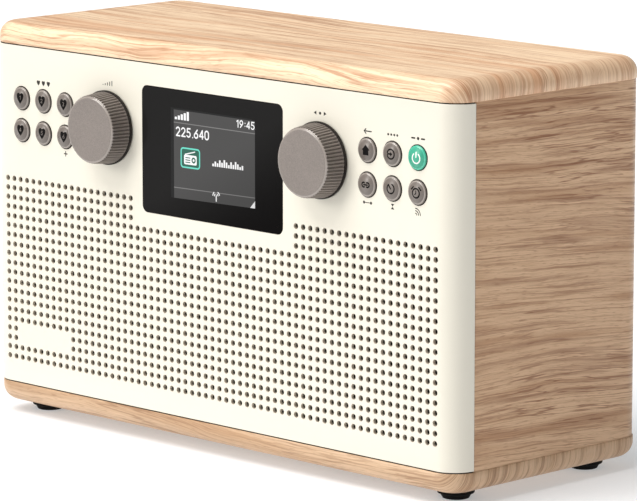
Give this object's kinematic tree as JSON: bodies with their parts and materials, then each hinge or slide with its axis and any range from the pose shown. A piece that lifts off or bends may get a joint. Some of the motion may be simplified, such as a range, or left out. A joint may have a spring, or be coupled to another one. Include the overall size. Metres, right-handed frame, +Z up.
{
  "type": "tabletop radio",
  "caption": "Table radio in a wooden cabinet: perforated moulded front, flush colour display, ribbed knobs, round buttons and a telescopic aerial behind.",
  "frame": {"origin": "on the surface that the feet stand on, under the middle of the whole object's box", "axes": "+X to the radio's right as its user sees it, along the front; the front faces -Y; +Z up"},
  "size_m": [0.27, 0.1302, 0.1666],
  "materials": {
    "oak_veneer": "light oak veneer, open straight grain, clear satin lacquer",
    "cream_plastic": "warm white moulded plastic, fine satin texture",
    "taupe_plastic": "warm grey moulded plastic, fine satin texture, bright edge on the knobs",
    "green_plastic": "sea green moulded plastic, satin",
    "black_plastic": "black moulded plastic with a fine spark texture",
    "display_glass": "gloss black acrylic over a lit colour screen",
    "acoustic_cloth": "fine black woven acoustic cloth",
    "ribbon_film": "amber flexible circuit film",
    "steel": "plain turned or pressed steel",
    "dark_steel": "black coated steel",
    "paper_cone": "black pressed paper cone with a rubber rim",
    "circuit_board": "green circuit board with soldered parts",
    "foot_rubber": "black rubber",
    "chrome": "bright chrome plate"
  },
  "bodies": {
    "root": {"top_cap": "oak_veneer", "bottom_cap": "oak_veneer", "left_side_panel": "oak_veneer", "right_side_panel": "oak_veneer", "front_panel": "cream_plastic", "rear_panel": "black_plastic", "inner_frame": "black_plastic", "grille_cloth": "acoustic_cloth", "display_window": "display_glass", "display_module": "black_plastic", "display_ribbon": "ribbon_film", "volume_encoder": "black_plastic", "select_encoder": "black_plastic", "left_control_board": "circuit_board", "right_control_board": "circuit_board", "main_board": "circuit_board", "radio_module": "steel", "left_speaker_basket": "dark_steel", "left_speaker_cone": "paper_cone", "left_speaker_magnet": "dark_steel", "right_speaker_basket": "dark_steel", "right_speaker_cone": "paper_cone", "right_speaker_magnet": "dark_steel", "foot_front_left": "foot_rubber", "foot_front_right": "foot_rubber", "foot_back_left": "foot_rubber", "foot_back_right": "foot_rubber", "dc_inlet": "black_plastic", "usb_port": "black_plastic", "aux_socket": "black_plastic", "headphone_socket": "black_plastic", "aerial_mount": "black_plastic", "rear_screw_1": "dark_steel", "rear_screw_2": "dark_steel", "rear_screw_3": "dark_steel", "rear_screw_4": "dark_steel"},
    "volume": {"volume_knob": "taupe_plastic", "volume_shaft": "steel"},
    "select_turn": {"select_rotor": "steel"},
    "select_press": {"select_knob": "taupe_plastic", "select_shaft": "steel"},
    "preset_1": {"preset_1_button": "taupe_plastic"},
    "preset_2": {"preset_2_button": "taupe_plastic"},
    "preset_3": {"preset_3_button": "taupe_plastic"},
    "preset_4": {"preset_4_button": "taupe_plastic"},
    "preset_5": {"preset_5_button": "taupe_plastic"},
    "preset_6": {"preset_6_button": "taupe_plastic"},
    "home": {"home_button": "taupe_plastic"},
    "source": {"source_button": "taupe_plastic"},
    "standby": {"standby_button": "green_plastic"},
    "pair": {"pair_button": "taupe_plastic"},
    "timer": {"timer_button": "taupe_plastic"},
    "alarm": {"alarm_button": "taupe_plastic"},
    "aerial_fork": {"aerial_swivel": "chrome", "aerial_pin": "steel"},
    "aerial_1": {"aerial_section_1": "chrome"},
    "aerial_2": {"aerial_section_2": "chrome"},
    "aerial_3": {"aerial_section_3": "chrome"},
    "aerial_4": {"aerial_section_4": "chrome"}
  },
  "joints": [
    {"name": "volume_spin", "type": "hinge", "parent": "root", "child": "volume", "pos_m": [-0.0615, -0.055, 0.12865], "axis": [0, 1, 0], "continuous": true},
    {"name": "select_spin", "type": "hinge", "parent": "root", "child": "select_turn", "pos_m": [0.0615, -0.055, 0.12865], "axis": [0, 1, 0], "continuous": true},
    {"name": "select_push", "type": "slide", "parent": "select_turn", "child": "select_press", "axis": [0, 1, 0], "range_m": [0, 0.0004], "stiffness_N_per_m": 5000, "springref_m": -0.0001},
    {"name": "preset_1_press", "type": "slide", "parent": "root", "child": "preset_1", "axis": [0, 1, 0], "range_m": [0, 0.0008], "stiffness_N_per_m": 1500, "springref_m": -0.0002},
    {"name": "preset_2_press", "type": "slide", "parent": "root", "child": "preset_2", "axis": [0, 1, 0], "range_m": [0, 0.0008], "stiffness_N_per_m": 1500, "springref_m": -0.0002},
    {"name": "preset_3_press", "type": "slide", "parent": "root", "child": "preset_3", "axis": [0, 1, 0], "range_m": [0, 0.0008], "stiffness_N_per_m": 1500, "springref_m": -0.0002},
    {"name": "preset_4_press", "type": "slide", "parent": "root", "child": "preset_4", "axis": [0, 1, 0], "range_m": [0, 0.0008], "stiffness_N_per_m": 1500, "springref_m": -0.0002},
    {"name": "preset_5_press", "type": "slide", "parent": "root", "child": "preset_5", "axis": [0, 1, 0], "range_m": [0, 0.0008], "stiffness_N_per_m": 1500, "springref_m": -0.0002},
    {"name": "preset_6_press", "type": "slide", "parent": "root", "child": "preset_6", "axis": [0, 1, 0], "range_m": [0, 0.0008], "stiffness_N_per_m": 1500, "springref_m": -0.0002},
    {"name": "home_press", "type": "slide", "parent": "root", "child": "home", "axis": [0, 1, 0], "range_m": [0, 0.0008], "stiffness_N_per_m": 1500, "springref_m": -0.0002},
    {"name": "source_press", "type": "slide", "parent": "root", "child": "source", "axis": [0, 1, 0], "range_m": [0, 0.0008], "stiffness_N_per_m": 1500, "springref_m": -0.0002},
    {"name": "standby_press", "type": "slide", "parent": "root", "child": "standby", "axis": [0, 1, 0], "range_m": [0, 0.0008], "stiffness_N_per_m": 1500, "springref_m": -0.0002},
    {"name": "pair_press", "type": "slide", "parent": "root", "child": "pair", "axis": [0, 1, 0], "range_m": [0, 0.0008], "stiffness_N_per_m": 1500, "springref_m": -0.0002},
    {"name": "timer_press", "type": "slide", "parent": "root", "child": "timer", "axis": [0, 1, 0], "range_m": [0, 0.0008], "stiffness_N_per_m": 1500, "springref_m": -0.0002},
    {"name": "alarm_press", "type": "slide", "parent": "root", "child": "alarm", "axis": [0, 1, 0], "range_m": [0, 0.0008], "stiffness_N_per_m": 1500, "springref_m": -0.0002},
    {"name": "aerial_turn", "type": "hinge", "parent": "root", "child": "aerial_fork", "pos_m": [0.1, 0.0616, 0.1501], "axis": [0, 1, 0], "range_deg": [0, 180]},
    {"name": "aerial_tilt", "type": "hinge", "parent": "aerial_fork", "child": "aerial_1", "pos_m": [0.1, 0.0616, 0.1501], "axis": [0, 0, -1], "range_deg": [0, 90]},
    {"name": "aerial_slide_2", "type": "slide", "parent": "aerial_1", "child": "aerial_2", "axis": [-1, 0, 0], "range_m": [0, 0.155]},
    {"name": "aerial_slide_3", "type": "slide", "parent": "aerial_2", "child": "aerial_3", "axis": [-1, 0, 0], "range_m": [0, 0.15]},
    {"name": "aerial_slide_4", "type": "slide", "parent": "aerial_3", "child": "aerial_4", "axis": [-1, 0, 0], "range_m": [0, 0.145]}
  ]
}
